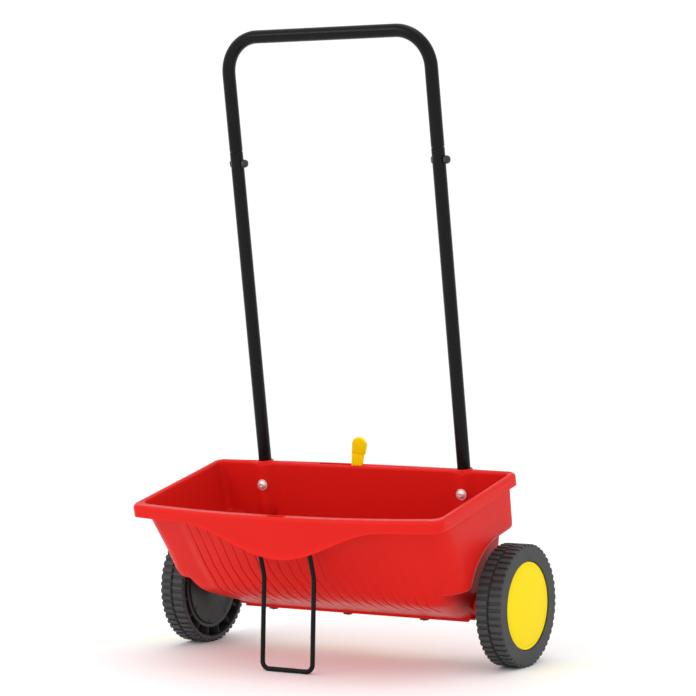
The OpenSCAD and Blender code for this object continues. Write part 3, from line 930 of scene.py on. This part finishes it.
def wheel_place(side):
    """Carries a wheel made on Z, inner face at 0, on to the axle."""
    place = along_x(WHEEL_IN)
    return place if side > 0 else MIRROR_X @ place


def tread_lug(width, angle, low, high):
    """One bar of the tread, as long as its row is wide."""
    lug = block((LUG_H + 1.2, width, high - low),
                (WHEEL_RADIUS - (LUG_H + 1.2) / 2 - 0.08, 0, (low + high) / 2), 0.7, 1)
    bmesh.ops.rotate(lug, cent=(0, 0, 0), matrix=Matrix.Rotation(angle, 3, "Z"), verts=lug.verts)
    return lug


def wheel_mesh(pinned):
    base = WHEEL_RADIUS - LUG_H
    profile = [
        (5.06, -10), (13.2, -10), (14, -9.2), (14, 25), (15, 26), (66, 26), (66, 5.6), (66.6, 5),
        (71.4, 5), (72, 5.6), (72, 39.5), (85.4, 39.5), (86, 38.9), (86, 0.8), (86.8, 0), (91.2, 0),
        (base, 1.3), (base, 19.6), (base - 1.2, 20.2), (base - 1.2, 22.3), (base, 22.9), (base, 41.2),
        (91.2, 42.5), (70.0, 42.5), (68.9, 41.6), (68.9, 29), (11, 29), (5.06, 29)]
    bm = lathe(profile, 104)
    props = settings().wheels
    pitch = 2 * math.pi / props.lugs
    for i in range(props.lugs):
        wide = (7.6, 6.3, 7.0, 5.4)[i % 4]
        add(bm, tread_lug(wide, i * pitch, 0.5, 19.4))
        add(bm, tread_lug(13.4 - wide, (i + 0.5) * pitch, 23.1, 42.0))
    for i in range(props.spokes):
        rib = block((15.5, 1.8, 36), (79, 0, 22), 0.5, 1)
        turn = Matrix.Rotation(2 * math.pi * i / props.spokes, 4, "Z")
        add(bm, rib, turn)
    for i in range(8):
        web = block((46, 2.0, 3.2), (39, 0, 30.2), 0.5, 1)
        add(bm, web, Matrix.Rotation(math.pi * i / 4, 4, "Z"))
    if pinned:
        add(bm, lathe([(13.9, -9), (15.4, -8.4), (15.4, -5.6), (13.9, -5)], 64))
    return bm


def cover_mesh():
    """The dark disc that closes the wheel's inner side, with a stepped rim and small snap notches."""
    bm = lathe([(14.4, 3), (17, 2.4), (24, 2.4), (26, 3.2), (57, 3.2), (59, 2.6), (64.8, 2.6), (65.5, 3.2),
                (65.5, 5), (14.4, 5)], 72)
    for i in range(8):
        tab = block((5, 3.2, 1.6), (61.5, 0, 2.5), 0.4, 1)
        add(bm, tab, Matrix.Rotation(math.pi * (i + 0.5) / 4, 4, "Z"))
    return bm


def disc_mesh():
    """The yellow disc: a shallow dome with a fine bead round it, and a skirt that snaps into the wheel."""
    face = WHEEL_W - 1.2
    return lathe([(0, face + 1.0), (20, face + 0.88), (40, face + 0.5), (56, face - 0.05),
                  (63.6, face - 0.42), (64.4, face - 0.9), (65.4, face - 0.35), (66.8, face - 0.05),
                  (67.7, face - 0.5), (68, face - 1.4), (68, face - 10), (64, face - 10),
                  (61, face - 2.6), (0, face - 1.6)], 96)


class SPREADER_OT_wheels(bpy.types.Operator):
    """Makes both treaded wheels, their inner covers and their yellow hub discs"""

    bl_idname = "spreader.wheels"
    bl_label = "Wheels"

    def execute(self, context):
        for side, name, body in ((-1, "left", "free_wheel"), (1, "right", "drive_axle")):
            for mesh, piece, node, slot in (
                    (wheel_mesh(side > 0), "treaded_wheel", "wheel", "black_plastic"),
                    (cover_mesh(), "inner_cover", "wheel_cover", "grey_plastic"),
                    (disc_mesh(), "yellow_disc", "hub_disc", "yellow_plastic")):
                made = bmesh.new()
                add(made, mesh, wheel_place(side))
                finish_piece(made, f"{piece}_{name}", body, [f"{node}_{name}"], slot)
        return {"FINISHED"}


# ---------------------------------------------------------------- handle

class SPREADER_OT_handle(bpy.types.Operator):
    """Makes the two lower tubes and the hoop that slides into them"""

    bl_idname = "spreader.handle"
    bl_label = "Handle"

    def execute(self, context):
        sides = settings().handle.steps
        bore = TUBE_R - 1.3
        for side, name in ((-1, "left"), (1, "right")):
            bm = bmesh.new()
            tube = lathe([(bore, -83), (bore, JOINT_AT), (TUBE_R - 0.45, JOINT_AT),
                          (TUBE_R, JOINT_AT - 0.5), (TUBE_R, -83)], sides)
            add(bm, tube, at_tube(side))
            finish_piece(bm, f"lower_tube_{name}", "hopper", [f"handle_tube_{name}"], "black_tube")
        start = JOINT_AT + 3.0
        hoop = swept([(-TUBE_X, 0, start), (-TUBE_X, 0, BAR_AT), (TUBE_X, 0, BAR_AT), (TUBE_X, 0, start)],
                     TUBE_R, [BAR_BEND, BAR_BEND], sides)
        bm = bmesh.new()
        add(bm, hoop, at_tube(0))
        for side in (-1, 1):
            neck = lathe([(0, 463), (bore - 0.9, 463), (bore - 0.1, 464), (bore - 0.1, JOINT_AT + 0.9),
                          (TUBE_R - 0.5, JOINT_AT + 1.0), (TUBE_R, JOINT_AT + 1.7), (TUBE_R, JOINT_AT + 4),
                          (0, JOINT_AT + 4)], sides)
            add(bm, neck, at_tube(side))
        finish_piece(bm, "handle_hoop", "hopper", ["handle_bar"], "black_tube")
        return {"FINISHED"}


# ---------------------------------------------------------------- fasteners

def dome_head(radius, height):
    """A domed bolt head on Z, its seat at 0 and its top at -height, with a hollow in the middle."""
    points = [(0, -height + 1.9), (1.9, -height + 1.9), (2.2, -height + 0.15)]
    for k in range(7):
        t = k / 6
        points.append((mix(2.6, radius, t), -height * math.cos(t * math.pi / 2) * 0.98))
    points[-1] = (radius, -0.5)
    return lathe(points + [(radius - 0.4, 0), (0, 0)], 32)


def bolt_mesh(radius, height, shank):
    bm = dome_head(radius, height)
    add(bm, lathe([(0, -0.5), (3, -0.5), (3, shank - 0.6), (2.4, shank), (0, shank)], 24))
    return bm


def hex_nut(radius, height):
    bm = bmesh.new()
    bmesh.ops.create_cone(bm, cap_ends=True, segments=6, radius1=radius, radius2=radius, depth=height)
    bmesh.ops.translate(bm, vec=(0, 0, height / 2), verts=bm.verts)
    bmesh.ops.bevel(bm, geom=bm.edges[:], offset=0.45, segments=2, profile=0.5, affect="EDGES",
                    material=-1)
    return bm


class SPREADER_OT_fasteners(bpy.types.Operator):
    """Makes the bolts, washers and nuts of the handle and the screw of the lever"""

    bl_idname = "spreader.fasteners"
    bl_label = "Fasteners"

    def execute(self, context):
        down = (RIM_V - BOLT_V) / math.cos(TUBE_LEAN)
        groups = {name: bmesh.new() for name in ("hopper_bolt", "hopper_washer", "hopper_nut",
                                                 "joint_bolt", "joint_nut")}
        for side in (-1, 1):
            at_bolt = at_tube(side) @ Matrix.Translation((0, 0, -down))
            at_joint = at_tube(side) @ Matrix.Translation((0, 0, JOINT_AT - 19))
            add(groups["hopper_bolt"], bolt_mesh(7, 4, 39), at_bolt @ along_u(0, -15.6, 0))
            washer = lathe([(3.1, 0), (3.1, 1.4), (8.7, 1.4), (9, 1.1), (9, 0.3), (8.7, 0)], 40)
            add(groups["hopper_washer"], washer, at_bolt @ along_u(0, -15.6, 0))
            add(groups["hopper_nut"], hex_nut(6, 5), at_bolt @ along_u(0, 14.2, 0))
            add(groups["joint_bolt"], bolt_mesh(6, 3.4, 25), at_joint @ along_x(-TUBE_R - 0.2))
            cap = lathe([(0, 0), (6.1, 0), (6.5, 0.5), (6.5, 4.2), (6.1, 5.3), (5.3, 6.9), (3.4, 8.1),
                         (0, 8.6)], 32)
            add(groups["joint_nut"], cap, at_joint @ along_x(TUBE_R + 0.2))
        for name, slot, piece in (("hopper_bolt", "zinc_steel", "hopper_bolt_pair"),
                                  ("hopper_washer", "zinc_steel", "hopper_washer_pair"),
                                  ("hopper_nut", "zinc_steel", "hopper_nut_pair"),
                                  ("joint_bolt", "zinc_steel", "joint_bolt_pair"),
                                  ("joint_nut", "black_plastic", "joint_cap_pair")):
            finish_piece(groups[name], piece, "hopper", [f"{name}s"], slot)
        bm = bmesh.new()
        add(bm, bolt_mesh(4.5, 2.5, 17), along_u(LEVER_PIVOT.x, LEVER_PIVOT.y + 7.8, LEVER_PIVOT.z)
            @ Matrix.Rotation(math.pi, 4, "X") @ Matrix.Translation((0, 0, 2.5)))
        finish_piece(bm, "lever_screw", "hopper", ["pivot_screw"], "zinc_steel")
        return {"FINISHED"}


# ---------------------------------------------------------------- stand

LEG_X = 45.0
LEG_TOP = (-190.0, 163.0)
LEG_MID = (-183.0, 88.0)
FOOT_U = -220.0
WIRE_R = 3.75
CLIP_V = 150.0


def foot_v():
    """Height in the hopper's frame at which the stand's bar touches the ground."""
    return (WIRE_R - WHEEL_RADIUS - FOOT_U * math.sin(TILT)) / math.cos(TILT)


def clip_place(side):
    wall_u = -(FRONT_OFF + math.sin(FRONT_ANGLE) * CLIP_V) / math.cos(FRONT_ANGLE)
    return Matrix.Translation((side * LEG_X, wall_u - 0.4, CLIP_V)) @ Matrix.Rotation(FRONT_ANGLE, 4, "X")


class SPREADER_OT_stand(bpy.types.Operator):
    """Makes the bent wire stand, the blocks that hold it to the front wall and their screws"""

    bl_idname = "spreader.stand"
    bl_label = "Stand"

    def execute(self, context):
        foot = (FOOT_U, foot_v())
        path = [(-LEG_X, *LEG_TOP), (-LEG_X, *LEG_MID), (-LEG_X, *foot), (LEG_X, *foot),
                (LEG_X, *LEG_MID), (LEG_X, *LEG_TOP)]
        wire = swept(path, WIRE_R, [34, 11.5, 11.5, 34], 24)
        finish_piece(wire, "wire_stand", "hopper", ["stand_wire"], "black_wire")
        clips, screws = bmesh.new(), bmesh.new()
        for side in (-1, 1):
            add(clips, block((30, 17.5, 14), (0, -8.75, 0), 2.2, 3), clip_place(side))
            for dx in (-10.5, 10.5):
                head = lathe([(0, 0), (1.1, 0), (1.4, 1.2), (2.9, 1.3), (3.4, 2.0), (3.4, 2.3), (1.8, 2.3),
                              (1.8, 19.8), (0, 19.8)], 24)
                add(screws, head, clip_place(side) @ along_u(dx, -20, 0))
        finish_piece(clips, "stand_clip_pair", "hopper", ["stand_clips"], "grey_plastic")
        finish_piece(screws, "stand_screw_set", "hopper", ["stand_screws"], "zinc_steel")
        return {"FINISHED"}


# ---------------------------------------------------------------- lever

LEVER_T = 4.0
STEM_HALF = 9.6
PADDLE_HALF = 12.8
PIVOT_TO_RIM = 173.0
PEG_ARM = 46.0


def round_end(cx, cy, radius, first, last, count):
    return [(cx + radius * math.cos(mix(first, last, k / count)),
             cy + radius * math.sin(mix(first, last, k / count))) for k in range(count + 1)]


class SPREADER_OT_lever(bpy.types.Operator):
    """Makes the yellow lever: forked arm, ribbed stem and rounded thumb paddle"""

    bl_idname = "spreader.lever"
    bl_label = "Lever"

    def execute(self, context):
        bm = bmesh.new()
        fork = 3.35
        arm = [(7, 8), (7, PIVOT_TO_RIM - 20), (-7, PIVOT_TO_RIM - 20), (-7, 8), (-7.5, -12),
               (-7.5, -PEG_ARM - 8), (-fork, -PEG_ARM - 8), (-fork, -PEG_ARM + 7), (fork, -PEG_ARM + 7),
               (fork, -PEG_ARM - 8), (7.5, -PEG_ARM - 8), (7.5, -12)]
        add(bm, plate(arm, LEVER_T, 0.5))
        add(bm, lathe([(4.06, -0.05), (4.06, 4.05), (10.3, 4.05), (11, 3.4), (11, 0.6), (10.3, -0.05)], 40))
        stem_low, stem_top = PIVOT_TO_RIM - 22, PIVOT_TO_RIM + 24
        stem = [(STEM_HALF - 2.4, stem_low), (STEM_HALF + 2.4, stem_top), (-STEM_HALF - 0.4, stem_top),
                (-STEM_HALF - 0.4, stem_low)]
        add(bm, plate(stem, LEVER_T, 0.7))
        for x in (-6.6, -2.2, 2.2, 6.6):
            add(bm, block((2.2, LEVER_T + 1.5, 34), (x, 0, 0), 0.6, 2),
                Matrix.Translation((0, PIVOT_TO_RIM + 5, LEVER_T / 2))
                @ Matrix.Rotation(math.pi / 2, 4, "X"))
        thick = 6.6
        low, side = PIVOT_TO_RIM + 21.5, 3.3
        paddle = [(side - PADDLE_HALF, low), (side + PADDLE_HALF - 2.5, low)]
        paddle += round_end(side, PIVOT_TO_RIM + 36, PADDLE_HALF, 0, math.pi, 20)
        add(bm, plate(paddle, thick, 1.8, 4), Matrix.Translation((0, 0, (LEVER_T - thick) / 2)))
        place = (Matrix.Translation(LEVER_PIVOT + Vector((0, LEVER_T, 0)))
                 @ Matrix.Rotation(LEVER_LEAN, 4, "Y") @ Matrix.Rotation(math.pi / 2, 4, "X"))
        finish_piece(bm, "thumb_lever", "lever", ["metering_lever"], "yellow_plastic", PARKED @ place)
        return {"FINISHED"}


# ---------------------------------------------------------------- what the frame already shapes

class SPREADER_OT_frame_finishes(bpy.types.Operator):
    """Gives the running gear and outlet parts that keep their own shape their finishes"""

    bl_idname = "spreader.frame_finishes"
    bl_label = "Frame finishes"

    def execute(self, context):
        slots = {part["node"]: part["material_slot"] for part in frame["record"]["subparts"]}
        for name, node in frame["nodes"].items():
            if node.hide_render:
                continue
            node.data.materials.clear()
            node.data.materials.append(finish_for(slots[name]))
        return {"FINISHED"}


# ---------------------------------------------------------------- stage

def soft_box(name, place, aim, size, power):
    light = bpy.data.lights.new(name, "AREA")
    light.shape = "RECTANGLE"
    light.size, light.size_y = size
    light.energy = power
    lamp = bpy.data.objects.new(name, light)
    lamp.location = place
    lamp.rotation_euler = (Vector(aim) - Vector(place)).to_track_quat("-Z", "Y").to_euler()
    bpy.context.scene.collection.objects.link(lamp)


class SPREADER_OT_stage(bpy.types.Operator):
    """Makes the pale floor, the soft studio light and the camera"""

    bl_idname = "spreader.stage"
    bl_label = "Stage"

    def execute(self, context):
        scene = context.scene
        stage = settings().stage
        middle = Vector((0, AXLE.y, 0.4864))
        a, e = stage.azimuth, stage.elevation
        ahead = Vector((-math.sin(a) * math.cos(e), math.cos(a) * math.cos(e), -math.sin(e)))
        right = Vector((math.cos(a), math.sin(a), 0))
        up = right.cross(ahead)
        c, s = math.cos(stage.roll), math.sin(stage.roll)
        across, upward = right * c + up * s, up * c - right * s
        lens = bpy.data.cameras.new("camera")
        lens.lens = stage.lens
        lens.sensor_width = 36
        lens.clip_end = 100
        camera = bpy.data.objects.new("camera", lens)
        target = Vector((0, middle.y, 0)) + across * -0.01241 + upward * middle.z
        turn = Matrix((across, upward, -ahead)).transposed().to_4x4()
        camera.matrix_world = Matrix.Translation(target - ahead * stage.distance) @ turn
        scene.collection.objects.link(camera)
        scene.camera = camera
        if stage.floor:
            bm = bmesh.new()
            bmesh.ops.create_grid(bm, x_segments=1, y_segments=1, size=40)
            mesh = bpy.data.meshes.new("floor")
            bm.to_mesh(mesh)
            bm.free()
            floor = bpy.data.objects.new("floor", mesh)
            material, _nodes, _links, shader = new_material("pale floor")
            shader.inputs["Base Color"].default_value = (0.98, 0.98, 0.98, 1)
            shader.inputs["Roughness"].default_value = 0.7
            mesh.materials.append(material)
            scene.collection.objects.link(floor)
        world = bpy.data.worlds.new("studio")
        world.use_nodes = True
        world.node_tree.nodes["Background"].inputs["Color"].default_value = (1, 1, 1, 1)
        world.node_tree.nodes["Background"].inputs["Strength"].default_value = 1.03
        scene.world = world
        scene.view_settings.view_transform = "Standard"
        aim = (0, 0, 0.35)
        soft_box("key", (-1.8, -3.2, 2.6), aim, (1.6, 1.6), 29)
        soft_box("fill", (3.2, -1.6, 1.5), aim, (1.4, 2.0), 5)
        soft_box("top", (0.3, 0.4, 3.4), aim, (2.4, 1.6), 12)
        return {"FINISHED"}


class SPREADER_PT_panel(bpy.types.Panel):
    """Lists the spreader's settings and the steps that make it"""

    bl_label = "Drop spreader"
    bl_idname = "SPREADER_PT_panel"
    bl_space_type = "VIEW_3D"
    bl_region_type = "UI"
    bl_category = "Spreader"

    def draw(self, context):
        layout = self.layout
        props = settings()
        for group in (props.hopper, props.wheels, props.handle, props.stage):
            box = layout.box()
            for name in group.bl_rna.properties.keys():
                if name not in ("rna_type", "name"):
                    box.prop(group, name)
        for operator in OPERATORS:
            layout.operator(operator.bl_idname)


OPERATORS = (SPREADER_OT_hopper, SPREADER_OT_wheels, SPREADER_OT_handle, SPREADER_OT_fasteners,
             SPREADER_OT_stand, SPREADER_OT_lever, SPREADER_OT_frame_finishes, SPREADER_OT_stage)
CLASSES = (SpreaderHopper, SpreaderWheels, SpreaderHandle, SpreaderStage, SpreaderSettings,
           *OPERATORS, SPREADER_PT_panel)


def register():
    for cls in CLASSES:
        bpy.utils.register_class(cls)
    bpy.types.Scene.spreader = PointerProperty(type=SpreaderSettings)


def unregister():
    del bpy.types.Scene.spreader
    for cls in reversed(CLASSES):
        bpy.utils.unregister_class(cls)


def main():
    register()
    bpy.ops.spreader.hopper()
    bpy.ops.spreader.wheels()
    bpy.ops.spreader.handle()
    bpy.ops.spreader.fasteners()
    bpy.ops.spreader.stand()
    bpy.ops.spreader.lever()
    bpy.ops.spreader.frame_finishes()
    bpy.ops.spreader.stage()


if __name__ == "__main__":
    main()
